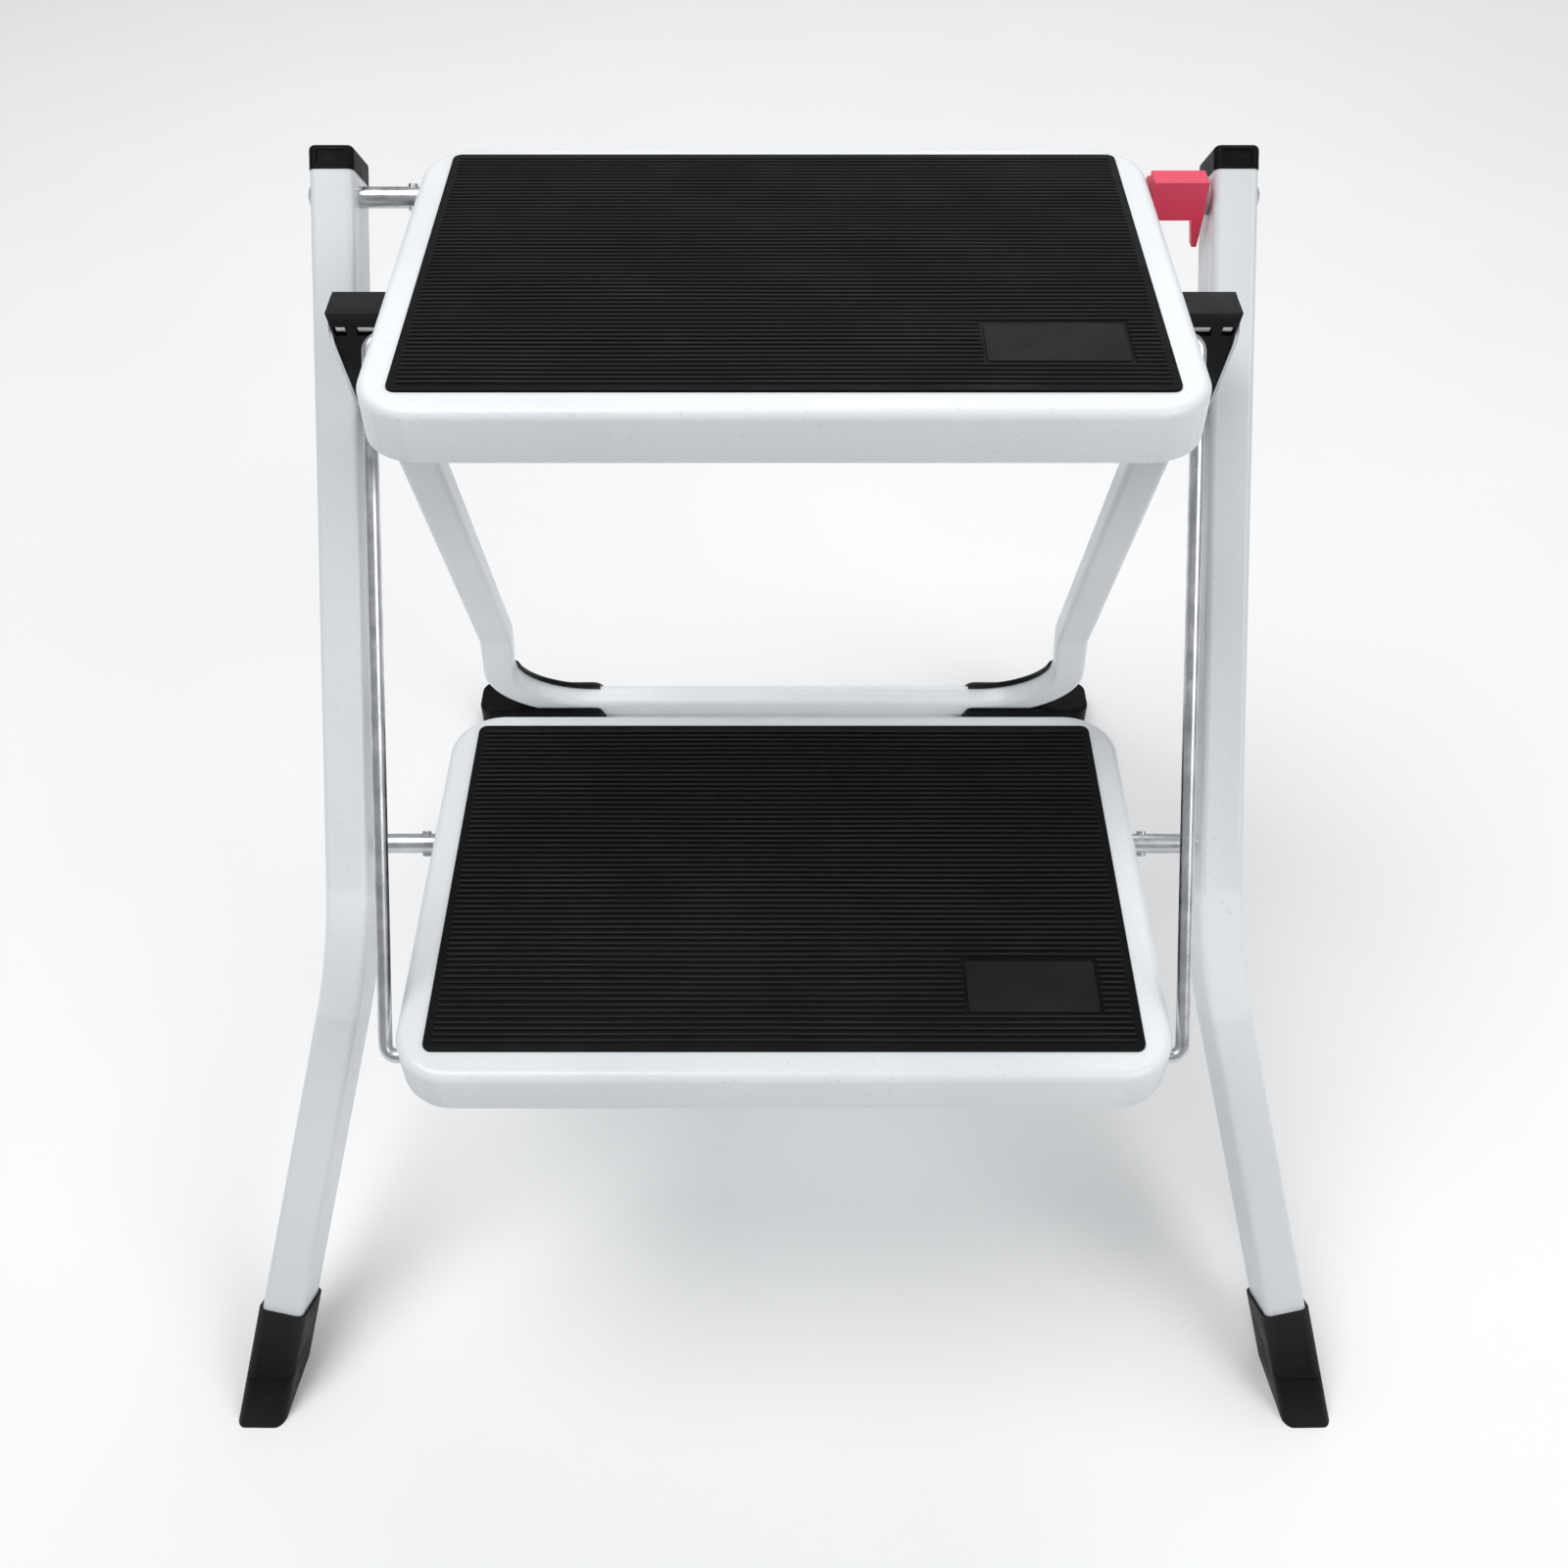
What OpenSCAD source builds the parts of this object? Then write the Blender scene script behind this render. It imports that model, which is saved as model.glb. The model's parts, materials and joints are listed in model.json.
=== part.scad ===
// Folding two-step stool. Millimetres, +Z up, the user climbs towards +Y.
// The origin is on the floor, at the centre of the open stool's footprint.

/* [Steps] */
// Width of each step
step_w = 330; // [320:1:330]
// Depth of each step, front to back
step_d = 215; // [205:1:220]
// Height of a step's folded side skirt
skirt_h = 23; // [21:1:24]
// Plan radius of a step's corners
step_corner_r = 25; // [20:1:30]
// Radius between a step's top and its skirt
step_edge_r = 4; // [3:0.5:5]
// Thickness of the pressed sheet steel
sheet_t = 1.5; // [1.2:0.1:2]
// Height of the top step above the floor
top_step_z = 450; // [446:1:454]
// Vertical distance between the two steps
step_rise = 224; // [220:1:228]
// Thickness of the rubber mat on each step
mat_t = 2.2; // [1.5:0.1:3]

/* [Frame tubes] */
// Width of a front leg tube, across the stool
front_tube_w = 20; // [18:1:22]
// Depth of a front leg tube
front_tube_d = 30; // [26:1:32]
// Lean of the front legs from upright, in degrees
front_lean = 42.5; // [42:0.1:43]
// Distance between the inner faces of the front legs
front_gap = 390; // [390:1:396]
// Width of the rear tube, across the stool
rear_tube_w = 20; // [18:1:20]
// Depth of the rear tube
rear_tube_d = 15; // [13:1:15]
// Lean of the rear legs from upright, in degrees
rear_lean = 24.6; // [24:0.1:25]
// Wall of every steel tube
tube_wall = 1.2; // [1:0.1:1.5]

/* [Rods] */
// Diameter of the two step axles
axle_d = 9.5; // [9:0.5:10]
// Diameter of the rod that the rear frame turns on
hinge_rod_d = 8; // [7:0.5:8]
// Diameter of the two link rods
link_d = 6; // [5:0.5:6]
// Radial play of every turning fit
running_play = 0.06; // [0.03:0.01:0.1]

/* [Feet and plastics] */
// Length of a front foot boot along its leg
boot_l = 48; // [44:1:60]
// Wall of a foot boot
boot_wall = 1.6; // [1.2:0.1:2]
// Height of a leg's end cap above the tube
cap_h = 11; // [9:1:13]

/* [Hidden] */
$fn = 48;

white_paint = [0.91, 0.93, 0.94];
black_plastic = [0.09, 0.09, 0.10];
black_rubber = [0.12, 0.12, 0.13];
zinc = [0.72, 0.74, 0.76];
nylon = [0.85, 0.85, 0.82];
red_plastic = [0.87, 0.20, 0.33];

big = 900;
same_body_play = 0.05;
left = -1;
right = 1;

// Step places: the front edge of the top step, and how far forward the lower one sits.
top_step_front_y = -54;
lower_step_shift_y = -148;

// The parallelogram: each axle lies under its step, and each link end is one crank ahead of it.
pivot_drop = 12;
crank_l = 120;
top_axle_y = 136;
lower_axle_y = -63;
top_pivot_z = top_step_z - pivot_drop;
lower_pivot_z = top_pivot_z - step_rise;
link_run_y = top_axle_y - lower_axle_y;
link_l = norm([link_run_y, step_rise]);
link_lean = atan(link_run_y / step_rise);

// The rod under the top step that carries the rear frame.
hinge_y = 54.5;
hinge_z = 422;

// Front legs: the centre line passes halfway between the two axles.
front_leg_x = (front_gap + front_tube_w) / 2;
front_leg_y = (top_axle_y + lower_axle_y) / 2;
front_leg_z = (top_pivot_z + lower_pivot_z) / 2;
front_top_s = 159;
front_corner_s = -200.6;
front_bend_r = 278;
// The foot section splays outwards and stands a little steeper than the upper section.
splay_slope = 0.282;
foot_lean = 37.8;
foot_vector = [splay_slope, -tan(foot_lean), -1];
foot_dir = foot_vector / norm(foot_vector);
foot_in_leg = [
    foot_dir.x,
    foot_dir.y * cos(front_lean) - foot_dir.z * sin(front_lean),
    foot_dir.y * sin(front_lean) + foot_dir.z * cos(front_lean)
];
front_bend_angle = acos(-foot_in_leg.z);
front_bend_turn = atan2(foot_in_leg.y, foot_in_leg.x);
front_bend_tangent = front_bend_r * tan(front_bend_angle / 2);
front_bend_s = front_corner_s + front_bend_tangent;
front_tube_r = 3;
// Length of the foot section's centre line, from the end of the bend to the floor.
foot_l = (front_leg_z + front_corner_s * cos(front_lean)) / -foot_dir.z - front_bend_tangent;
tube_end_gap = 16;

// Rear frame: one tube bent to a U, in a plane through the hinge rod.
rear_leg_x = 181;
rear_top_t = 9;
rear_flare_t = 333;
rear_cross_t = 447;
rear_flare_angle = 7.4;
rear_flare_r = 60;
rear_corner_r = 55;
rear_tube_r = 3;
rear_flare_tangent = rear_flare_r * tan(rear_flare_angle / 2);
rear_corner_angle = 90 + rear_flare_angle;
rear_corner_tangent = rear_corner_r * tan(rear_corner_angle / 2);
rear_corner_x = rear_leg_x + (rear_cross_t - rear_flare_t) * tan(rear_flare_angle);
rear_flared_l = (rear_cross_t - rear_flare_t) / cos(rear_flare_angle)
    - rear_flare_tangent - rear_corner_tangent;
rear_cross_l = 2 * (rear_corner_x - rear_corner_tangent);

// Hinge blocks on the rear tube's ends, and the zinc plates outside them.
block_in_x = 168;
block_out_x = 192.6;
block_wall = 2;
block_top_z = 437;
block_l = 60;
plate_t = 1.5;
plate_x = block_out_x + same_body_play;
hinge_rod_end_x = plate_x + plate_t + 0.4;

// ---- Plain shapes ----

// A rectangle with round corners, centred.
module rounded_rect(w, d, r) {
    square([w - 2 * r, d], center = true);
    square([w, d - 2 * r], center = true);
    for (sx = [-1, 1], sy = [-1, 1])
        translate([sx * (w / 2 - r), sy * (d / 2 - r)]) circle(r);
}

// Half of a block's upright section: flat side at x = 0, rounded upper corner at x = len.
module edge_section(len, h, e) {
    square([len, h - e]);
    square([len - e, h]);
    intersection() {
        translate([len - e, h - e]) circle(e);
        square([len, h]);
    }
}

// A block centred on Z with plan corners of radius r and top edges rounded by e.
module soft_block(w, d, h, r, e) {
    core_w = w - 2 * r;
    core_d = d - 2 * r;
    translate([-core_w / 2, -core_d / 2, 0]) cube([core_w, core_d, h]);
    for (turn = [0, 180]) {
        rotate(turn) translate([core_w / 2, core_d / 2, 0]) rotate([90, 0, 0])
            linear_extrude(core_d) edge_section(r, h, e);
        rotate(turn + 90) translate([core_d / 2, core_w / 2, 0]) rotate([90, 0, 0])
            linear_extrude(core_w) edge_section(r, h, e);
    }
    for (corner = [[1, 1, 0], [-1, 1, 90], [-1, -1, 180], [1, -1, 270]])
        translate([corner[0] * core_w / 2, corner[1] * core_d / 2, 0]) rotate(corner[2])
            rotate_extrude(angle = 90) edge_section(r, h, e);
}

// A cylinder along X from x0 to x1, at depth y and height z.
module rod_x(x0, x1, y, z, r) {
    translate([x0, y, z]) rotate([0, 90, 0]) cylinder(h = x1 - x0, r = r);
}

// Points of a rectangle with round corners, anticlockwise, n steps to each corner.
function rounded_points(w, d, r, n) = [
    for (corner = [[1, 1, 0], [-1, 1, 90], [-1, -1, 180], [1, -1, 270]], k = [0 : n])
        let (a = corner[2] + 90 * k / n)
        [corner[0] * (w / 2 - r) + r * cos(a), corner[1] * (d / 2 - r) + r * sin(a)]
];

// A pose on a flat path is [x, z, heading]; heading 0 runs down and grows towards +X.
function ahead(pose, len) =
    [pose[0] + len * sin(pose[2]), pose[1] - len * cos(pose[2]), pose[2]];

// Poses along an arc that starts at pose, turns by turn degrees and has the radius r.
function arc_poses(pose, r, turn, n) = [
    for (k = [1 : n])
        let (a = pose[2] + turn * k / n, s = sign(turn) * r)
        [pose[0] + s * (cos(pose[2]) - cos(a)), pose[1] + s * (sin(pose[2]) - sin(a)), a]
];

// Poses along a chain of legs, each [straight length, arc radius, arc turn, arc steps].
function path_poses(pose, legs, i = 0) =
    i == len(legs) ? [pose] :
    let (
        leg = legs[i],
        straight_end = ahead(pose, leg[0]),
        arc = leg[3] == 0 ? [] : arc_poses(straight_end, leg[1], leg[2], leg[3])
    )
    concat(
        [pose],
        leg[3] == 0 ? [] : [straight_end],
        leg[3] < 2 ? [] : [for (k = [0 : leg[3] - 2]) arc[k]],
        path_poses(leg[3] == 0 ? straight_end : arc[leg[3] - 1], legs, i + 1)
    );

function placed(pose, p) =
    [pose[0] + p[0] * cos(pose[2]), p[1], pose[1] + p[0] * sin(pose[2])];

// A hollow tube along poses, whose outer and inner outlines have the same number of points.
module bent_tube(poses, outer, inner) {
    n = len(outer);
    m = len(poses);
    points = concat(
        [for (pose = poses, p = outer) placed(pose, p)],
        [for (pose = poses, p = inner) placed(pose, p)]
    );
    outer_walls = [
        for (i = [0 : m - 2], k = [0 : n - 1])
            let (next = (k + 1) % n)
            [i * n + k, i * n + next, (i + 1) * n + next, (i + 1) * n + k]
    ];
    inner_walls = [
        for (face = outer_walls) [face[3] + m * n, face[2] + m * n, face[1] + m * n, face[0] + m * n]
    ];
    first_rim = [
        for (k = [0 : n - 1])
            let (next = (k + 1) % n)
            [next, k, m * n + k, m * n + next]
    ];
    last_rim = [
        for (face = first_rim) [for (j = [3 : -1 : 0]) face[j] + (m - 1) * n]
    ];
    polyhedron(points, concat(outer_walls, inner_walls, first_rim, last_rim));
}

// Keeps what lies above the height z0.
module above(z0) {
    intersection() {
        children();
        translate([-big / 2, -big / 2, z0]) cube(big);
    }
}

// The right-hand piece, or its mirror image for the left.
module on_side(side) {
    if (side == right) children();
    else mirror([1, 0, 0]) children();
}

// ---- Front frame ----

// Local axes of the right front leg: Z runs up the leg from the middle of its centre line.
module front_leg_place() {
    translate([front_leg_x, front_leg_y, front_leg_z]) rotate([-front_lean, 0, 0]) children();
}

// Turns a section's points so that the leg's bend lies in the XZ plane.
function turned(points, a) = [
    for (p = points) [p[0] * cos(a) - p[1] * sin(a), p[0] * sin(a) + p[1] * cos(a)]
];

// The front leg's axes, turned so that its bend lies in their XZ plane and starts at the origin.
module front_bend_place() {
    front_leg_place() translate([0, 0, front_bend_s]) rotate(front_bend_turn) children();
}

// From the bend's own axes to those of the foot section, which runs down along -Z.
module front_foot_place() {
    translate([
        front_bend_r * (1 - cos(front_bend_angle)), 0, -front_bend_r * sin(front_bend_angle)
    ]) rotate([0, -front_bend_angle, 0]) children();
}

// A solid stretch of the foot section, from sole_gap along the leg from the floor, len long.
module foot_stretch(grow, sole_gap, len) {
    front_bend_place() front_foot_place() translate([0, 0, sole_gap - foot_l])
        linear_extrude(len) rotate(-front_bend_turn)
            rounded_rect(front_tube_w + 2 * grow, front_tube_d + 2 * grow, front_tube_r + grow);
}

// A tube with one gentle bend, square cut at both ends and drilled for the two axles.
module front_leg(side) {
    hole_play = same_body_play;
    straight_l = front_top_s - front_bend_s;
    poses = path_poses([0, straight_l, 0], [
        [straight_l, front_bend_r, front_bend_angle, 10], [foot_l - tube_end_gap, 0, 0, 0]
    ]);
    outer = rounded_points(front_tube_w, front_tube_d, front_tube_r, 4);
    inner = rounded_points(front_tube_w - 2 * tube_wall, front_tube_d - 2 * tube_wall,
        front_tube_r - tube_wall, 4);
    color(white_paint) on_side(side) difference() {
        front_bend_place()
            bent_tube(poses, turned(outer, -front_bend_turn), turned(inner, -front_bend_turn));
        rod_x(front_leg_x - big / 4, front_leg_x + big / 4, top_axle_y, top_pivot_z, axle_d / 2 + hole_play);
        rod_x(front_leg_x - big / 4, front_leg_x + big / 4, lower_axle_y, lower_pivot_z,
            axle_d / 2 + hole_play);
    }
}

// End cap: a soft-edged block on the tube's end, with a shallow panel on its front face.
module leg_cap(side) {
    brim = 0.3;
    plug_l = 3.4;
    plug_play = 0.1;
    panel = [13, 1.2, 6];
    panel_depth = 0.6;
    cap_w = front_tube_w + 2 * brim;
    cap_d = front_tube_d + 2 * brim;
    inner_w = front_tube_w - 2 * (tube_wall + plug_play);
    inner_d = front_tube_d - 2 * (tube_wall + plug_play);
    panel_y = -cap_d / 2 - panel.y + panel_depth;
    color(black_plastic) on_side(side) front_leg_place() translate([0, 0, front_top_s])
        difference() {
            union() {
                translate([0, 0, same_body_play])
                    soft_block(cap_w, cap_d, cap_h, front_tube_r + brim, 2.6);
                translate([0, 0, -plug_l]) linear_extrude(plug_l + 1)
                    rounded_rect(inner_w, inner_d, 1);
            }
            translate([-panel.x / 2, panel_y, 2.6]) cube(panel);
        }
}

// Foot boot: a tight sleeve over the leg's end, with a solid sole cut flat on the floor.
module foot_boot(side) {
    groove_z = 20;
    groove_h = 0.5;
    groove_depth = 0.5;
    below_floor = 40;
    color(black_plastic) on_side(side) difference() {
        above(0) foot_stretch(boot_wall, -below_floor, boot_l + below_floor);
        foot_stretch(same_body_play, tube_end_gap - same_body_play, boot_l);
        difference() {
            translate([0, -big / 2, groove_z]) cube([big / 2, big, groove_h]);
            foot_stretch(boot_wall - groove_depth, -below_floor, boot_l + 2 * below_floor);
        }
    }
}

// An axle with a domed rivet head outside each leg and crimped ears beside the step.
module axle(y, z, ear_sides) {
    head_r = 7.5;
    head_t = 3.2;
    outer_x = front_gap / 2 + front_tube_w + 0.3;
    ear_x = 170.5;
    ear_l = axle_d + 2.4;
    color(zinc) {
        rod_x(-outer_x - 1, outer_x + 1, y, z, axle_d / 2);
        for (side = [left, right])
            on_side(side) translate([outer_x, y, z]) rivet_head(head_r, head_t);
        for (side = ear_sides)
            translate([side * ear_x, y, z]) rotate([-link_lean, 0, 0]) crimp_ears(ear_l);
    }
}

// A shallow dome that points along +X, flat side at x = 0.
module rivet_head(r, t) {
    dome_r = (r * r + t * t) / (2 * t);
    rotate([0, 90, 0]) rotate_extrude() intersection() {
        translate([0, t - dome_r]) circle(dome_r, $fn = 96);
        square([r, t]);
    }
}

module crimp_ears(len) {
    translate([0, 0, -len / 2]) cylinder(h = len, r = 2.2);
}

module top_axle() {
    axle(top_axle_y, top_pivot_z, [left]);
}

module lower_axle() {
    axle(lower_axle_y, lower_pivot_z, [left, right]);
}

// ---- Steps ----

// A pressed tray, open below, with holes for its axle and for the link ends.
module step_tray(front_y, top_z, axle_y, pivot_z, link_play) {
    hole_r = axle_d / 2 + bush_wall;
    color(white_paint) difference() {
        translate([0, front_y + step_d / 2, top_z - skirt_h]) difference() {
            soft_block(step_w, step_d, skirt_h, step_corner_r, step_edge_r);
            translate([0, 0, -1]) soft_block(step_w - 2 * sheet_t, step_d - 2 * sheet_t,
                skirt_h - sheet_t + 1, step_corner_r - sheet_t, step_edge_r - sheet_t);
        }
        rod_x(-step_w, step_w, axle_y, pivot_z, hole_r);
        rod_x(-step_w, step_w, axle_y - crank_l, pivot_z, link_d / 2 + link_play);
    }
}

// The mat stops short of the step's edge, a little further from the front.
module step_mat(front_y, top_z) {
    side_margin = 13;
    front_margin = 13;
    rear_margin = 9.5;
    mat_w = step_w - 2 * side_margin;
    mat_d = step_d - front_margin - rear_margin;
    color(black_rubber) translate([0, front_y + front_margin + mat_d / 2, top_z])
        soft_block(mat_w, mat_d, mat_t, 7, 0.8);
}

bush_wall = 1.6;

// Flanged nylon bushes, one in each side skirt, that turn on the axle.
module axle_bushes(y, z, flange_gap) {
    flange_r = axle_d / 2 + 3.4;
    flange_t = 1.2;
    bore_r = axle_d / 2 + running_play;
    skirt_in_x = step_w / 2 - sheet_t;
    color(nylon) for (side = [left, right]) on_side(side) difference() {
        union() {
            rod_x(skirt_in_x - 5, step_w / 2 + 0.3, y, z, axle_d / 2 + bush_wall - same_body_play);
            rod_x(skirt_in_x - flange_gap - flange_t, skirt_in_x - flange_gap, y, z, flange_r);
        }
        rod_x(skirt_in_x - 6, step_w / 2 + 1, y, z, bore_r);
    }
}

module top_step_tray() {
    step_tray(top_step_front_y, top_step_z, top_axle_y, top_pivot_z, running_play);
}

module lower_step_tray() {
    open_pivot_play = 0.4;
    step_tray(top_step_front_y + lower_step_shift_y, top_step_z - step_rise,
        lower_axle_y, lower_pivot_z, open_pivot_play);
}

module top_step_mat() {
    step_mat(top_step_front_y, top_step_z);
}

module lower_step_mat() {
    step_mat(top_step_front_y + lower_step_shift_y, top_step_z - step_rise);
}

// The upper flanges stand clear of the tray's round corners.
module top_axle_bushes() {
    axle_bushes(top_axle_y, top_pivot_z, 3);
}

module lower_axle_bushes() {
    axle_bushes(lower_axle_y, lower_pivot_z, same_body_play);
}

// Two channels under the top step that hold the rear frame's rod.
module top_step_brackets() {
    cheek_t = 2;
    channel_w = 20;
    channel_l = 26;
    channel_x = 140;
    under_z = top_step_z - sheet_t - same_body_play;
    eye_r = 8;
    color(white_paint) for (side = [left, right]) on_side(side) difference() {
        union() {
            translate([channel_x, hinge_y - channel_l / 2, under_z - cheek_t])
                cube([channel_w, channel_l, cheek_t]);
            for (x = [channel_x, channel_x + channel_w - cheek_t]) {
                rod_x(x, x + cheek_t, hinge_y, hinge_z, eye_r);
                translate([x, hinge_y - eye_r, hinge_z])
                    cube([cheek_t, 2 * eye_r, under_z - hinge_z - 0.5]);
            }
        }
        rod_x(channel_x - 1, channel_x + channel_w + 1, hinge_y, hinge_z,
            hinge_rod_d / 2 + same_body_play);
    }
}

module rear_hinge_rod() {
    color(zinc) rod_x(-hinge_rod_end_x, hinge_rod_end_x, hinge_y, hinge_z, hinge_rod_d / 2);
}

// ---- Link rods ----

elbow_r = 5;
link_x = step_w / 2 + elbow_r;
link_end_x = 157;

// Local axes of a link rod: Z runs up the rod from the upper link pivot.
module link_place() {
    translate([0, top_axle_y - crank_l, top_pivot_z]) rotate([-link_lean, 0, 0]) children();
}

// A quarter bend that joins the upright rod at z = 0 to the inward end at z = elbow_r.
module link_elbow() {
    translate([link_x - elbow_r, 0, 0]) rotate([90, 0, 0])
        rotate_extrude(angle = 90) translate([elbow_r, 0]) circle(link_d / 2);
}

module link_rod(side) {
    color(zinc) on_side(side) link_place() {
        translate([link_x, 0, -link_l + elbow_r]) cylinder(h = link_l - 2 * elbow_r, r = link_d / 2);
        translate([0, 0, -elbow_r]) link_elbow();
        translate([0, 0, -link_l + elbow_r]) mirror([0, 0, 1]) link_elbow();
        for (z = [0, -link_l])
            rod_x(link_end_x, link_x - elbow_r, 0, z, link_d / 2);
    }
}

// Domed push nuts that keep the four rod ends inside the skirts.
module link_push_nuts() {
    nut_r = 6;
    nut_t = 1.6;
    nut_x = step_w / 2 - sheet_t - 6;
    color(zinc) for (side = [left, right]) on_side(side) link_place()
        for (z = [0, -link_l]) translate([nut_x, 0, z]) difference() {
            rotate([0, 90, 0]) cylinder(h = nut_t, r1 = nut_r * 0.7, r2 = nut_r);
            translate([-1, 0, 0]) rotate([0, 90, 0])
                cylinder(h = nut_t + 2, r = link_d / 2 + same_body_play);
        }
}

// ---- Rear frame ----

// Local axes of the rear frame: Z runs up the legs from the hinge rod, Y points to the rear.
module rear_place() {
    translate([0, hinge_y, hinge_z]) rotate([rear_lean, 0, 0]) children();
}

module rear_section(grow) {
    rounded_rect(rear_tube_w + 2 * grow, rear_tube_d + 2 * grow, rear_tube_r + grow);
}

// An arc that starts at the origin, runs down and turns by angle towards +X.
module rear_arc(r, angle, grow) {
    translate([r, 0, 0]) rotate([0, 180, 0]) rotate([90, 0, 0])
        rotate_extrude(angle = angle) translate([r, 0]) rear_section(grow);
}

// Axes where the corner's arc meets the cross tube, turned so that the arc starts along -Z.
module corner_foot_place() {
    translate([rear_cross_l / 2, 0, -rear_cross_t]) rotate([0, -90, 0]) children();
}

// A sleeve form: cross_l of cross tube, then angle degrees of the corner.
module corner_form(grow, cross_l, angle) {
    corner_foot_place() {
        rear_arc(rear_corner_r, angle, grow);
        linear_extrude(cross_l) rear_section(grow);
    }
}

// One tube: down the right leg, flared, round the corner, across and up again.
module rear_tube() {
    leg_l = rear_flare_t - rear_flare_tangent - rear_top_t;
    poses = path_poses([rear_leg_x, -rear_top_t, 0], [
        [leg_l, rear_flare_r, rear_flare_angle, 3],
        [rear_flared_l, rear_corner_r, -rear_corner_angle, 16],
        [rear_cross_l, rear_corner_r, -rear_corner_angle, 16],
        [rear_flared_l, rear_flare_r, rear_flare_angle, 3],
        [leg_l, 0, 0, 0]
    ]);
    outer = rounded_points(rear_tube_w, rear_tube_d, rear_tube_r, 3);
    inner = rounded_points(rear_tube_w - 2 * tube_wall, rear_tube_d - 2 * tube_wall,
        rear_tube_r - tube_wall, 3);
    color(white_paint) rear_place() bent_tube(poses, outer, inner);
}

// Corner shoe: a wall behind the U's corner that grips its rear edges, on a flat-soled pad.
module rear_shoe(side) {
    shoe_wall = 2;
    shoe_play = 0.15;
    cross_cover = 6;
    arc_cover = 84;
    lip = 3;
    pad = [86, 30, 17];
    pad_x = 125;
    pad_y = 229;
    outer_wall_x = 198;
    outer_wall_top_z = 20;
    color(black_plastic) on_side(side) difference() {
        above(0) {
            rear_place() difference() {
                corner_form(shoe_wall, cross_cover, arc_cover);
                translate([0, rear_tube_d / 2 - lip - big, -big]) cube(big);
            }
            translate([pad_x + pad.x / 2, pad_y + pad.y / 2, 0]) soft_block(pad.x, pad.y, pad.z, 9, 2.5);
        }
        rear_place() corner_form(shoe_play, pad.x, rear_corner_angle);
        translate([outer_wall_x, 0, outer_wall_top_z]) cube(big / 2);
    }
}

// Side view of a hinge block: a wedge in front, the socket's rear wall behind.
module block_side_view() {
    front_l = 27.6;
    wedge = 14;
    back = rear_tube_d / 2 + block_wall;
    polygon([
        [-8.3, 30], [back - 3, 30], [back - 3, 12], [back, 6], [back, -block_l], [-back, -block_l],
        [-wedge, -front_l - 14], [-wedge, -front_l]
    ]);
}

// Plastic block: a socket over the rear tube's end, with the hinge rod through its solid head.
module hinge_block(side) {
    socket_w = rear_tube_w + 2 * same_body_play;
    socket_d = rear_tube_d + 2 * same_body_play;
    window_h = 5.5;
    window_low = 6.4;
    window_depth = 16;
    window_end_y = -3;
    color(black_plastic) on_side(side) difference() {
        intersection() {
            rear_place() translate([block_in_x, 0, 0]) rotate([90, 0, 90])
                linear_extrude(block_out_x - block_in_x) block_side_view();
            translate([0, -big / 2, 0]) cube([big / 2, big, block_top_z]);
        }
        rear_place() {
            translate([rear_leg_x, 0, -block_l - 1]) linear_extrude(block_l + 1 - rear_top_t + 0.2)
                rounded_rect(socket_w, socket_d, rear_tube_r);
            for (window = [[169.6, 2.2], [174, 8], [186.4, 5]])
                translate([window[0], window_end_y - window_depth, window_low])
                    cube([window[1], window_depth, window_h]);
        }
        rod_x(block_in_x - 1, block_out_x + 1, hinge_y, hinge_z, hinge_rod_d / 2 + running_play);
    }
}

// Zinc plate outside a block: round ends at the hinge rod and near the block's foot.
module hinge_plate(side) {
    upper_r = 12.5;
    lower_r = 8.5;
    lower_y = -7;
    lower_z = -41;
    color(zinc) on_side(side) difference() {
        rear_place() translate([plate_x, 0, 0]) rotate([90, 0, 90]) linear_extrude(plate_t) {
            circle(upper_r);
            translate([lower_y, lower_z]) circle(lower_r);
            polygon([
                [upper_r, 0], [-upper_r, 0], [lower_y - lower_r, lower_z], [lower_y + lower_r, lower_z]
            ]);
        }
        rod_x(plate_x - 1, plate_x + plate_t + 1, hinge_y, hinge_z, hinge_rod_d / 2 + running_play);
        rear_place() rod_x(plate_x - 1, plate_x + plate_t + 1, lower_y, lower_z, 2 + same_body_play);
    }
}

// Rivets that hold the plates to the blocks.
module hinge_plate_rivets() {
    rivet_y = -7;
    rivet_z = -41;
    color(zinc) for (side = [left, right]) on_side(side) rear_place()
        rod_x(block_out_x + same_body_play, plate_x + plate_t + 0.4, rivet_y, rivet_z, 2);
}

// ---- Latch ----

latch_in_x = 167;
latch_out_x = 191.5;

// Red catch that turns on the top axle, with a finger tooth under its outer end.
module latch_grip() {
    front_y = top_axle_y - 12;
    top_z = 451;
    bottom_z = 433;
    hub_r = 9.5;
    spring_room_r = 7.4;
    spring_room_l = 11;
    tooth_in_x = 186;
    tooth_t = 5;
    tooth_tip_z = 420;
    color(red_plastic) difference() {
        union() {
            translate([latch_in_x, front_y, bottom_z])
                cube([latch_out_x - latch_in_x, top_axle_y - front_y, top_z - bottom_z]);
            rod_x(latch_in_x, latch_out_x, top_axle_y, top_pivot_z, hub_r);
            translate([0, front_y + tooth_t, 0]) rotate([90, 0, 0]) linear_extrude(tooth_t)
                polygon([
                    [tooth_in_x, bottom_z + 1], [tooth_in_x + 2.6, tooth_tip_z],
                    [tooth_in_x + 5, tooth_tip_z], [latch_out_x, bottom_z + 1]
                ]);
        }
        rod_x(latch_in_x - 1, latch_out_x + 1, top_axle_y, top_pivot_z, axle_d / 2 + running_play);
        rod_x(latch_in_x + 6, latch_in_x + 6 + spring_room_l, top_axle_y, top_pivot_z, spring_room_r);
    }
}

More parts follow.
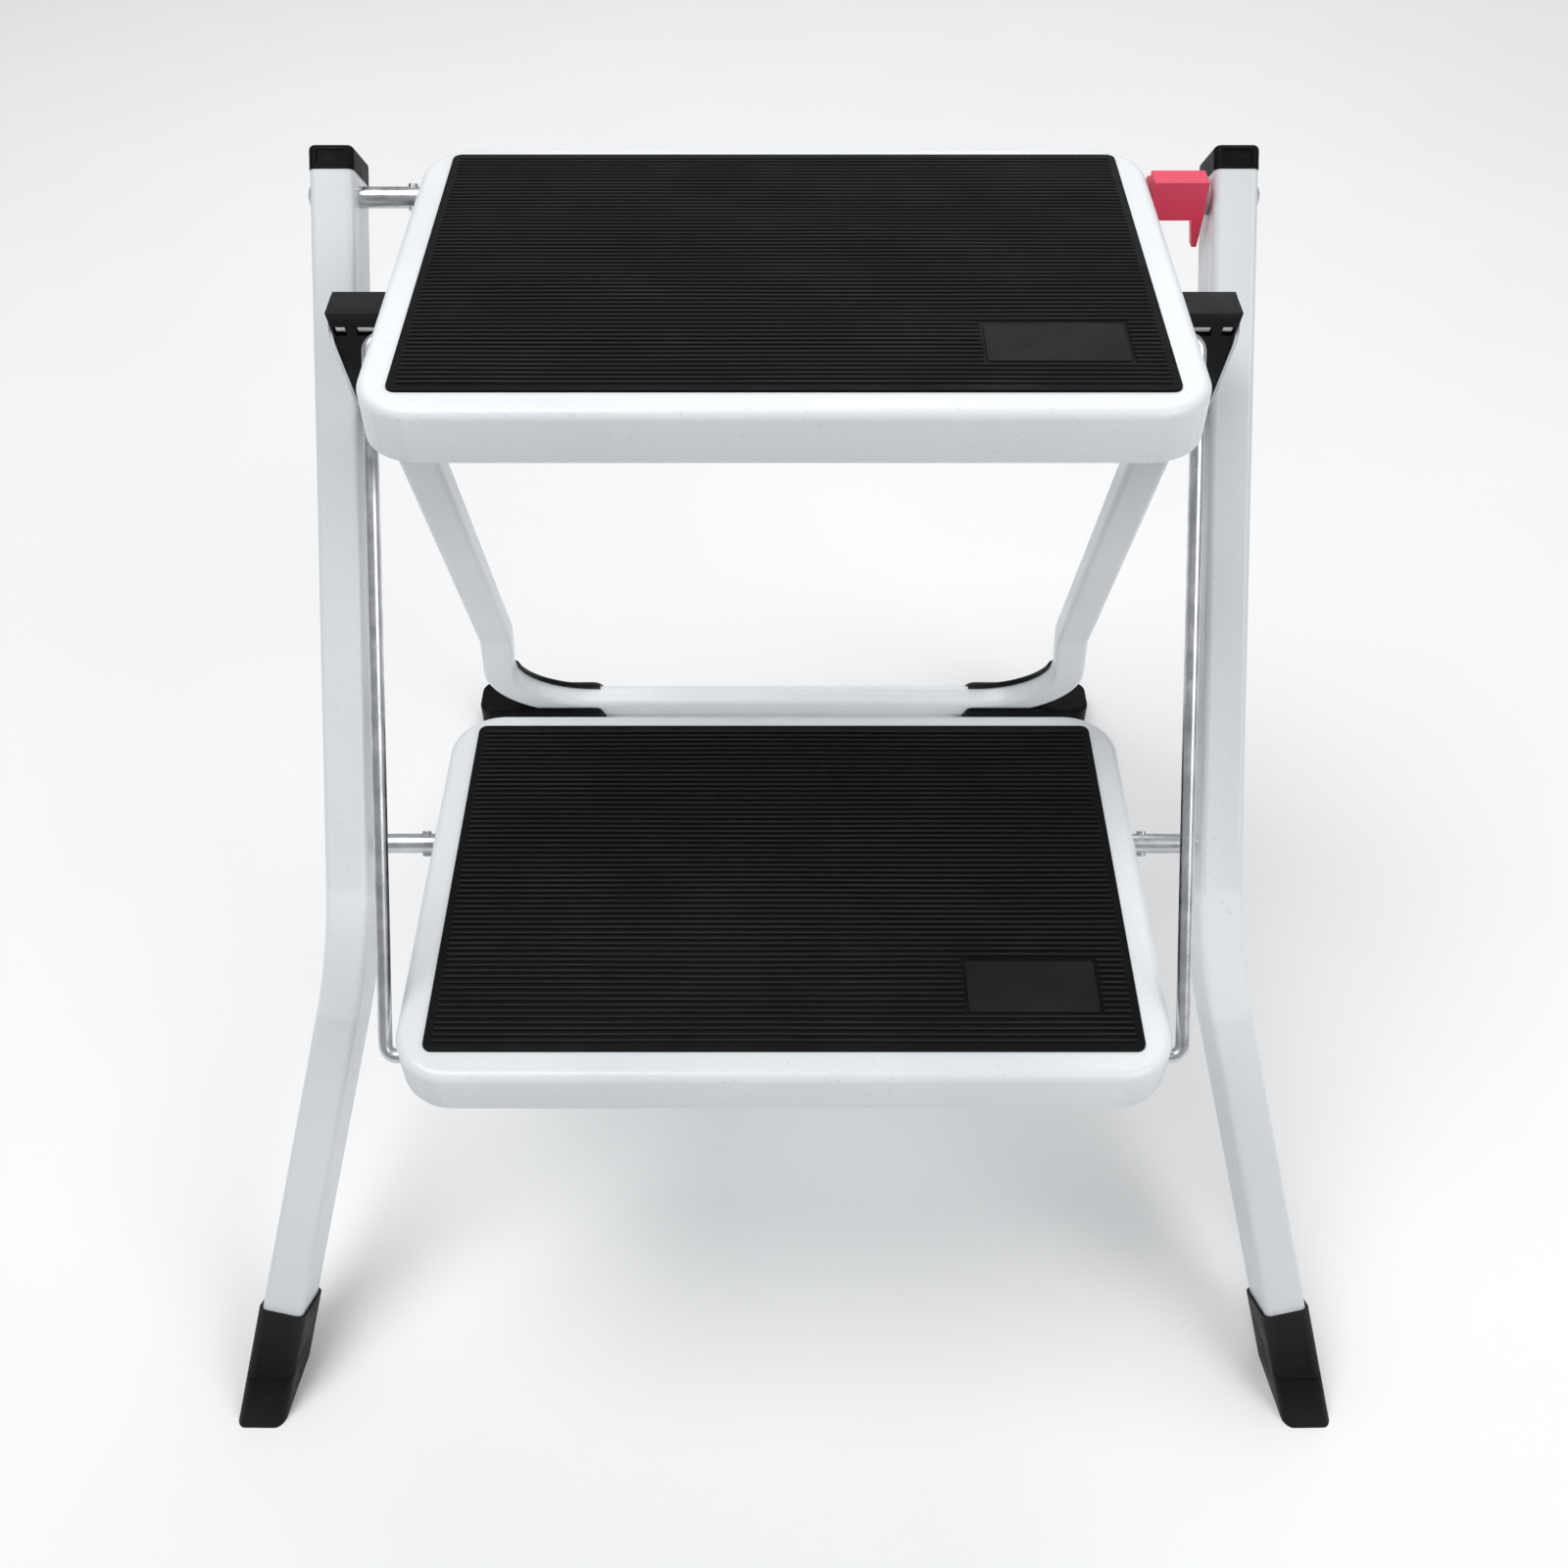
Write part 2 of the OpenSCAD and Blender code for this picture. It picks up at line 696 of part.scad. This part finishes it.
// Points of a ring of the spring's wire, at turn degrees round the axle.
function spring_ring(turn, coil_r, wire_r, pitch, sides) = [
    for (k = [0 : sides - 1])
        let (a = k * 360 / sides, r = coil_r + wire_r * cos(a))
        [pitch * turn / 360 + wire_r * sin(a), r * cos(turn), r * sin(turn)]
];

// Torsion spring that returns the latch, coiled round the axle inside the grip.
module latch_spring() {
    coil_r = 6.1;
    wire_r = 0.5;
    pitch = 2.2;
    turns = 4;
    sides = 8;
    step = 15;
    rings = turns * 360 / step;
    points = [for (i = [0 : rings]) each spring_ring(i * step, coil_r, wire_r, pitch, sides)];
    walls = [
        for (i = [0 : rings - 1], k = [0 : sides - 1])
            let (n = (k + 1) % sides)
            [i * sides + k, i * sides + n, (i + 1) * sides + n, (i + 1) * sides + k]
    ];
    first_end = [for (k = [sides - 1 : -1 : 0]) k];
    last_end = [for (k = [0 : sides - 1]) rings * sides + k];
    color(zinc) translate([latch_in_x + 7, top_axle_y, top_pivot_z])
        polyhedron(points, concat(walls, [first_end, last_end]));
}

// Thin washer between the latch and the front leg.
module latch_washer() {
    color(nylon) difference() {
        rod_x(latch_out_x + 0.3, front_gap / 2 - 0.3, top_axle_y, top_pivot_z, 7.5);
        rod_x(latch_out_x - 1, front_gap / 2 + 1, top_axle_y, top_pivot_z, axle_d / 2 + same_body_play);
    }
}

front_leg(left);  // front_leg_left
front_leg(right);  // front_leg_right
leg_cap(left);  // leg_cap_left
leg_cap(right);  // leg_cap_right
foot_boot(left);  // foot_boot_left
foot_boot(right);  // foot_boot_right
top_axle();
lower_axle();
top_step_tray();
top_step_mat();
top_step_brackets();
top_axle_bushes();
rear_hinge_rod();
lower_step_tray();
lower_step_mat();
lower_axle_bushes();
link_rod(left);  // link_rod_left
link_rod(right);  // link_rod_right
link_push_nuts();
rear_tube();
rear_shoe(left);  // rear_shoe_left
rear_shoe(right);  // rear_shoe_right
hinge_block(left);  // hinge_block_left
hinge_block(right);  // hinge_block_right
hinge_plate(left);  // hinge_plate_left
hinge_plate(right);  // hinge_plate_right
hinge_plate_rivets();
latch_grip();
latch_spring();
latch_washer();
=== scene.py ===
"""Looks of a folding two-step stool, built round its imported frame."""

import json
import math

import bmesh
import bpy
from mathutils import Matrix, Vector


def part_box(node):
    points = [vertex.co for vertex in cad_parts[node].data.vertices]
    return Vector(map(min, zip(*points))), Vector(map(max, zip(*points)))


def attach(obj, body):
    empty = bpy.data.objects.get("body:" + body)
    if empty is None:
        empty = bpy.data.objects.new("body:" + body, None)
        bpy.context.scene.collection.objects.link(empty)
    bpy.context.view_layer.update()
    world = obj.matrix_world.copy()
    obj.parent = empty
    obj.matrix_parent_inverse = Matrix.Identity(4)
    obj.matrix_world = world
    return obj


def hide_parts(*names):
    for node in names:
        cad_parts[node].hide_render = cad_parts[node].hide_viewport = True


MM = 0.001

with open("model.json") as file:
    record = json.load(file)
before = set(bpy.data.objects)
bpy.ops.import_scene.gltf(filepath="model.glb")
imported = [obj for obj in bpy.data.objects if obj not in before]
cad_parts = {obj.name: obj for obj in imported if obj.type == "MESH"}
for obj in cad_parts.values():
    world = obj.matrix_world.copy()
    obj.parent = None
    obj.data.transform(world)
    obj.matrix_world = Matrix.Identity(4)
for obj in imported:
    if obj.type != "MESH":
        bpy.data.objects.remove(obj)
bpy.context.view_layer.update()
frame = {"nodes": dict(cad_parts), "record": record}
nodes = frame["nodes"]


# ---- Material helpers ----


class Mat:
    """A Principled material with a noise bump, and helpers that add to its node tree."""

    def __init__(self, name, **inputs):
        self.material = bpy.data.materials.new(name)
        self.material.use_nodes = True
        self.tree = self.material.node_tree
        self.shader = self.tree.nodes["Principled BSDF"]
        self.coords = self.tree.nodes.new("ShaderNodeTexCoord")
        for key, value in inputs.items():
            self.shader.inputs[key.replace("_", " ")].default_value = value

    def node(self, kind, **values):
        made = self.tree.nodes.new(kind)
        for key, value in values.items():
            if key in made.inputs:
                made.inputs[key].default_value = value
            else:
                setattr(made, key, value)
        return made

    def link(self, out, into):
        self.tree.links.new(out, into)

    def noise(self, scale, detail=3.0, stretch=(1, 1, 1)):
        """Noise over the object's own coordinates, in cycles per metre."""
        mapping = self.node("ShaderNodeMapping")
        mapping.inputs["Scale"].default_value = stretch
        self.link(self.coords.outputs["Object"], mapping.inputs["Vector"])
        noise = self.node("ShaderNodeTexNoise", Scale=scale, Detail=detail)
        self.link(mapping.outputs["Vector"], noise.inputs["Vector"])
        return noise.outputs["Fac"]

    def ramp(self, fac, stops):
        """A colour ramp from (position, colour) stops; a grey colour may be one number."""
        ramp = self.node("ShaderNodeValToRGB")
        elements = ramp.color_ramp.elements
        while len(elements) < len(stops):
            elements.new(0.5)
        for element, (place, colour) in zip(elements, stops):
            element.position = place
            element.color = (*colour, 1) if hasattr(colour, "__len__") else (colour, colour, colour, 1)
        self.link(fac, ramp.inputs["Fac"])
        return ramp.outputs["Color"]

    def mix(self, fac, a, b, mode="MIX"):
        mix = self.node("ShaderNodeMix", data_type="RGBA", blend_type=mode)
        for socket, value in ((mix.inputs[0], fac), (mix.inputs[6], a), (mix.inputs[7], b)):
            if isinstance(value, bpy.types.NodeSocket):
                self.link(value, socket)
            else:
                socket.default_value = value
        return mix.outputs[2]

    def bump(self, height, distance, strength):
        bump = self.node("ShaderNodeBump", Distance=distance, Strength=strength)
        self.link(height, bump.inputs["Height"])
        self.link(bump.outputs["Normal"], self.shader.inputs["Normal"])

    def colour(self, socket):
        self.link(socket, self.shader.inputs["Base Color"])

    def roughness(self, fac, low, high):
        self.link(self.ramp(fac, [(0.3, low), (0.7, high)]), self.shader.inputs["Roughness"])

    def edges(self, low, high):
        """White on convex edges, black elsewhere."""
        geometry = self.node("ShaderNodeNewGeometry")
        return self.ramp(geometry.outputs["Pointiness"], [(low, 0.0), (high, 1.0)])


def white_paint():
    """Powder coat: faint orange peel, handling marks, thinner and greyer on edges."""
    m = Mat("white_paint", Coat_Weight=0.25, Coat_Roughness=0.25, Specular_IOR_Level=0.45)
    marks = m.ramp(m.noise(9, 4), [(0.35, (0.76, 0.80, 0.82)), (0.65, (0.83, 0.86, 0.875))])
    specks = m.ramp(m.noise(420, 2), [(0.28, 0.9), (0.34, 1.0)])
    body = m.mix(1.0, marks, specks, "MULTIPLY")
    m.colour(m.mix(m.edges(0.53, 0.62), body, (0.66, 0.69, 0.71, 1)))
    m.roughness(m.noise(30, 3), 0.30, 0.42)
    m.bump(m.noise(900, 2), 0.00012, 0.55)
    return m.material


def black_plastic():
    """Moulded plastic: fine spark-eroded grain and grey scuffs."""
    m = Mat("black_plastic", Specular_IOR_Level=0.08)
    scuffs = m.ramp(m.noise(120, 5, (1, 1, 3)), [(0.55, (0.004, 0.004, 0.005)), (0.8, (0.012, 0.012, 0.014))])
    m.colour(m.mix(m.edges(0.54, 0.66), scuffs, (0.022, 0.022, 0.024, 1)))
    m.roughness(m.noise(60, 3), 0.36, 0.55)
    m.bump(m.noise(2600, 2), 0.00010, 0.6)
    return m.material


def mat_rubber():
    """Ribbed rubber: matte, with patchy tone on its crests and painted shade, near black, between them."""
    m = Mat("mat_rubber", Specular_IOR_Level=0.16)
    crest = m.node("ShaderNodeAttribute", attribute_name="crest").outputs["Fac"]
    rubber_tone = m.ramp(m.noise(28, 5), [(0.35, (0.013, 0.013, 0.014)), (0.75, (0.021, 0.021, 0.023))])
    # Painted shade: the grooves go near black by rib height, and the crests keep the rubber's patchy tone.
    m.colour(m.mix(m.ramp(crest, [(0.35, 0.0), (0.95, 1.0)]), (0.001, 0.001, 0.0012, 1), rubber_tone))
    m.roughness(m.noise(45, 4), 0.50, 0.68)
    m.bump(m.noise(3200, 2), 0.00008, 0.5)
    return m.material


def zinc():
    """Bright zinc over drawn wire: dull patches and fine lines along the rod."""
    m = Mat("zinc", Metallic=1.0)
    patches = m.ramp(m.noise(70, 5), [(0.3, (0.50, 0.51, 0.52)), (0.7, (0.74, 0.75, 0.76))])
    m.colour(patches)
    m.roughness(m.noise(160, 4), 0.22, 0.42)
    m.bump(m.noise(700, 3), 0.00006, 0.4)
    return m.material


def chromed_rod():
    m = Mat("chromed_rod", Metallic=1.0)
    m.colour(m.ramp(m.noise(60, 3), [(0.3, (0.70, 0.71, 0.72)), (0.7, (0.80, 0.81, 0.82))]))
    m.roughness(m.noise(200, 3), 0.10, 0.22)
    m.bump(m.noise(900, 2, (0.2, 1, 1)), 0.00008, 0.4)
    return m.material


def nylon():
    m = Mat("nylon", Subsurface_Weight=0.05)
    m.colour(m.ramp(m.noise(80, 3), [(0.3, (0.62, 0.61, 0.57)), (0.7, (0.72, 0.71, 0.67))]))
    m.roughness(m.noise(90, 3), 0.42, 0.58)
    m.bump(m.noise(1800, 2), 0.00008, 0.4)
    return m.material


def red_plastic():
    """Moulded red plastic, a little paler where it is rubbed."""
    m = Mat("red_plastic", Specular_IOR_Level=0.25)
    body = m.ramp(m.noise(90, 4), [(0.3, (0.74, 0.018, 0.066)), (0.7, (0.82, 0.028, 0.086))])
    m.colour(m.mix(m.edges(0.54, 0.64), body, (0.78, 0.07, 0.13, 1)))
    m.roughness(m.noise(70, 3), 0.34, 0.50)
    m.bump(m.noise(2200, 2), 0.00010, 0.5)
    return m.material


def floor_paint():
    m = Mat("floor_paint", Specular_IOR_Level=0.2)
    m.colour(m.ramp(m.noise(3, 3), [(0.3, (0.95, 0.95, 0.95)), (0.7, (0.97, 0.97, 0.97))]))
    m.roughness(m.noise(12, 2), 0.75, 0.85)
    return m.material


MAKERS = {
    "white_paint": white_paint, "black_plastic": black_plastic, "mat_rubber": mat_rubber,
    "zinc": zinc, "chromed_rod": chromed_rod, "nylon": nylon, "red_plastic": red_plastic,
}
materials = {slot: make() for slot, make in MAKERS.items()}


# ---- CAD nodes: materials and smooth shading ----

SMOOTH_ANGLE = math.radians(32)


def shade(obj):
    """Smooth shading that keeps edges sharper than SMOOTH_ANGLE."""
    obj.data.polygons.foreach_set("use_smooth", [True] * len(obj.data.polygons))
    obj.data.set_sharp_from_angle(angle=SMOOTH_ANGLE)


# Moulded and stamped pieces get the small edge radius that the CAD leaves out.
EDGE_RADII = {
    "latch_grip": 0.9 * MM, "hinge_block_left": 0.9 * MM, "hinge_block_right": 0.9 * MM,
    "hinge_plate_left": 0.3 * MM, "hinge_plate_right": 0.3 * MM, "top_step_brackets": 0.4 * MM,
    "foot_boot_left": 0.5 * MM, "foot_boot_right": 0.5 * MM,
}


def round_edges(obj, width):
    made = obj.modifiers.new("Bevel", "BEVEL")
    made.width = width
    made.segments = 3
    made.limit_method = "ANGLE"
    made.angle_limit = math.radians(40)
    made.harden_normals = True


for part in frame["record"]["subparts"]:
    node = nodes[part["node"]]
    node.data.materials.clear()
    node.data.materials.append(materials[part["material_slot"]])
    shade(node)
    if part["node"] in EDGE_RADII:
        round_edges(node, EDGE_RADII[part["node"]])


# ---- Mesh helpers ----


def new_piece(name, mesh_maker, slot, body, bevel=0.0):
    """An object from mesh_maker(bmesh), riding on a body, with a slot's material."""
    bm = bmesh.new()
    mesh_maker(bm)
    bmesh.ops.recalc_face_normals(bm, faces=bm.faces)
    mesh = bpy.data.meshes.new(name)
    bm.to_mesh(mesh)
    bm.free()
    obj = bpy.data.objects.new(name, mesh)
    bpy.context.scene.collection.objects.link(obj)
    mesh.materials.append(materials[slot])
    if bevel:
        round_edges(obj, bevel)
    shade(obj)
    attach(obj, body)
    return obj


def loft(bm, rings):
    """Faces between rings of points that follow each other, closed at both ends."""
    made = [[bm.verts.new(p) for p in ring] for ring in rings]
    n = len(made[0])
    for a, b in zip(made, made[1:]):
        for k in range(n):
            bm.faces.new((a[k], a[(k + 1) % n], b[(k + 1) % n], b[k]))
    bm.faces.new(list(reversed(made[0])))
    bm.faces.new(made[-1])


CORNER_STEPS = 6


def rounded_outline(x0, x1, y0, y1, r):
    """Points of a rectangle with round corners, anticlockwise."""
    points = []
    centres = ((x1 - r, y1 - r), (x0 + r, y1 - r), (x0 + r, y0 + r), (x1 - r, y0 + r))
    for quarter, (cx, cy) in enumerate(centres):
        for k in range(CORNER_STEPS + 1):
            a = math.radians(90 * (quarter + k / CORNER_STEPS))
            points.append((cx + r * math.cos(a), cy + r * math.sin(a)))
    return points


# ---- Ribbed mats ----

RIB_PITCH = 3.0 * MM
RIB_H = 1.2 * MM
RIB_W = 1.7 * MM
RIB_END = 0.7 * MM
RIB_STATION = 12 * MM
# Ribs wander sideways by SWAY and their crests rise and fall by SWELL. The waves are in radians per
# metre along a rib, and the steps in radians from one rib to the next.
SWAY = 0.18 * MM
SWAY_WAVE = 31
SWAY_STEP = 0.21
SWELL = 0.05 * MM
SWELL_WAVE = 47
SWELL_STEP = 0.5
MAT_BORDER = 3.2 * MM
MAT_CORNER_R = 4 * MM
PANEL_W = 56 * MM
PANEL_D = 27 * MM
PANEL_RIGHT_GAP = 17 * MM
PANEL_FRONT_GAP = 19 * MM
PANEL_FRAME = 1.2 * MM
PANEL_CORNER_R = 1.5 * MM
PANEL_SINK = 0.35 * MM
PANEL_EDGE = 0.25 * MM
SHEET_RISE = 0.25 * MM
SHEET_EDGE = 0.3 * MM


def slab(bm, outline, z0, z1, edge):
    """A flat slab whose top edge is rounded by edge."""
    centre = Vector([sum(point[k] for point in outline) / len(outline) for k in range(2)])

    def inwards(value, middle, inset):
        return value - math.copysign(inset, value - middle)

    def ring(inset, z):
        return [(inwards(x, centre.x, inset), inwards(y, centre.y, inset), z) for x, y in outline]

    loft(bm, [ring(0, z0), ring(0, z1 - edge), ring(edge * 0.3, z1 - edge * 0.3), ring(edge, z1)])


def rib(bm, x0, x1, y, z, wobble):
    """One rounded rib along X, tapered to its ends; wobble(x) shifts its crest."""
    half = RIB_W / 2
    section = [
        (-half, 0), (half, 0), (half * 0.85, 0.55), (half * 0.45, 0.9),
        (0, 1.0), (-half * 0.45, 0.9), (-half * 0.85, 0.55),
    ]
    count = max(4, int((x1 - x0) / RIB_STATION))
    rings = []
    stations = [(x0, 0.05), (x0 + RIB_END, 0.9)]
    stations += [(x0 + (x1 - x0) * k / count, 1.0) for k in range(1, count)]
    stations += [(x1 - RIB_END, 0.9), (x1, 0.05)]
    for x, rise in stations:
        dy, dz = wobble(x)
        rings.append([(x, y + dy + sy, z + (h * RIB_H + dz) * rise) for sy, h in section])
    loft(bm, rings)


def ribbed_mat(node, body, phase):
    """Replaces a mat's CAD slab with a ribbed sheet; phase sets how its ribs wander."""
    lo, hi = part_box(node)
    base_z = hi.z - RIB_H
    panel_x1 = hi.x - PANEL_RIGHT_GAP
    panel_x0 = panel_x1 - PANEL_W
    panel_y0 = lo.y + PANEL_FRONT_GAP
    panel_y1 = panel_y0 + PANEL_D

    def make(bm):
        sheet = rounded_outline(lo.x, hi.x, lo.y, hi.y, MAT_CORNER_R)
        slab(bm, sheet, lo.z, base_z + SHEET_RISE, SHEET_EDGE)
        panel = rounded_outline(panel_x0, panel_x1, panel_y0, panel_y1, PANEL_CORNER_R)
        slab(bm, panel, base_z, hi.z - PANEL_SINK, PANEL_EDGE)
        x0, x1 = lo.x + MAT_BORDER, hi.x - MAT_BORDER
        count = int((hi.y - lo.y - 2 * MAT_BORDER) / RIB_PITCH)
        first = (lo.y + hi.y - (count - 1) * RIB_PITCH) / 2
        for i in range(count):
            y = first + i * RIB_PITCH

            def wobble(x, i=i):
                sway = math.sin(x * SWAY_WAVE + phase) * math.sin(i * SWAY_STEP + phase)
                return SWAY * sway, SWELL * math.sin(x * SWELL_WAVE + i * SWELL_STEP)

            if panel_y0 - RIB_W / 2 < y < panel_y1 + RIB_W / 2:
                rib(bm, x0, panel_x0 - PANEL_FRAME, y, base_z, wobble)
                rib(bm, panel_x1 + PANEL_FRAME, x1, y, base_z, wobble)
            else:
                rib(bm, x0, x1, y, base_z, wobble)

    piece = new_piece(node + "_ribbed", make, "mat_rubber", body)
    # The crest attribute is rib height, 0 in the grooves and 1 on the crests; mat_rubber paints groove shade
    # by it.
    crest = piece.data.attributes.new("crest", "FLOAT", "POINT")
    for vertex, value in zip(piece.data.vertices, crest.data):
        value.value = min(max((vertex.co.z - base_z) / RIB_H, 0), 1)
    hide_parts(node)


ribbed_mat("top_step_mat", "top_step", 0.4)
ribbed_mat("lower_step_mat", "lower_step", 2.1)


# ---- Zinc strips behind the windows of the hinge blocks ----

HINGE = Vector((0, 54.5, 422)) * MM
REAR_LEAN = math.radians(24.6)
STRIPS_X = ((174.2, 181.8), (186.6, 191.2))
STRIP_FRONT_Y = -9.2
STRIP_REAR_Y = -8.0
STRIP_Z = (7.3, 11.2)
STRIP_EDGE = 0.3 * MM


def in_rear_frame(x, y, z):
    """A point of the rear frame's own axes, in millimetres, in the shared frame."""
    c, s = math.cos(REAR_LEAN), math.sin(REAR_LEAN)
    return HINGE + Vector((x, y * c - z * s, y * s + z * c)) * MM


def window_strips(side):
    """The two strips of one block; side is -1 for the left block and 1 for the right."""

    def make(bm):
        for x0, x1 in STRIPS_X:
            corners = [(x0, STRIP_REAR_Y), (x1, STRIP_REAR_Y), (x1, STRIP_FRONT_Y), (x0, STRIP_FRONT_Y)]
            loft(bm, [[in_rear_frame(side * x, y, z) for x, y in corners] for z in STRIP_Z])

    name = "left" if side < 0 else "right"
    new_piece("hinge_window_strips_" + name, make, "zinc", "rear_frame", STRIP_EDGE)


window_strips(-1)
window_strips(1)


# ---- Stage, light and camera ----

FLOOR_SIZE = 14
SKY_COLOUR = (0.95, 0.97, 1.0, 1)
SKY_STRENGTH = 0.36


def floor():
    bpy.ops.mesh.primitive_plane_add(size=FLOOR_SIZE, location=(0, 0, 0))
    made = bpy.context.object
    made.name = "floor"
    made.data.materials.append(floor_paint())


floor()


def area_light(name, place, target, size, power):
    """A round lamp at a place, turned to face a target; size in metres, power in watts."""
    data = bpy.data.lights.new(name, "AREA")
    data.shape = "DISK"
    data.size = size
    data.energy = power
    obj = bpy.data.objects.new(name, data)
    obj.location = place
    obj.rotation_euler = (Vector(target) - Vector(place)).to_track_quat("-Z", "Y").to_euler()
    bpy.context.scene.collection.objects.link(obj)


area_light("key", place=(-0.8, -0.2, 2.6), target=(0, 0, 0.25), size=1.6, power=33)
area_light("fill", place=(1.7, -1.3, 1.9), target=(0, 0, 0.25), size=1.8, power=20)
area_light("back", place=(0.4, 1.8, 2.4), target=(0, 0, 0.3), size=1.6, power=18)

world = bpy.data.worlds.new("studio")
world.use_nodes = True
world.node_tree.nodes["Background"].inputs["Color"].default_value = SKY_COLOUR
world.node_tree.nodes["Background"].inputs["Strength"].default_value = SKY_STRENGTH
bpy.context.scene.world = world
bpy.context.scene.view_settings.view_transform = "Standard"

CAMERA_PLACE = (0, -0.566, 0.795)
CAMERA_DOWN = 47.0
LENS = 36.9
camera_data = bpy.data.cameras.new("camera")
camera_data.sensor_width = 36
camera_data.lens = LENS
camera_data.clip_start = 0.01
camera = bpy.data.objects.new("camera", camera_data)
camera.location = CAMERA_PLACE
camera.rotation_euler = (math.radians(90 - CAMERA_DOWN), 0, 0)
bpy.context.scene.collection.objects.link(camera)
bpy.context.scene.camera = camera
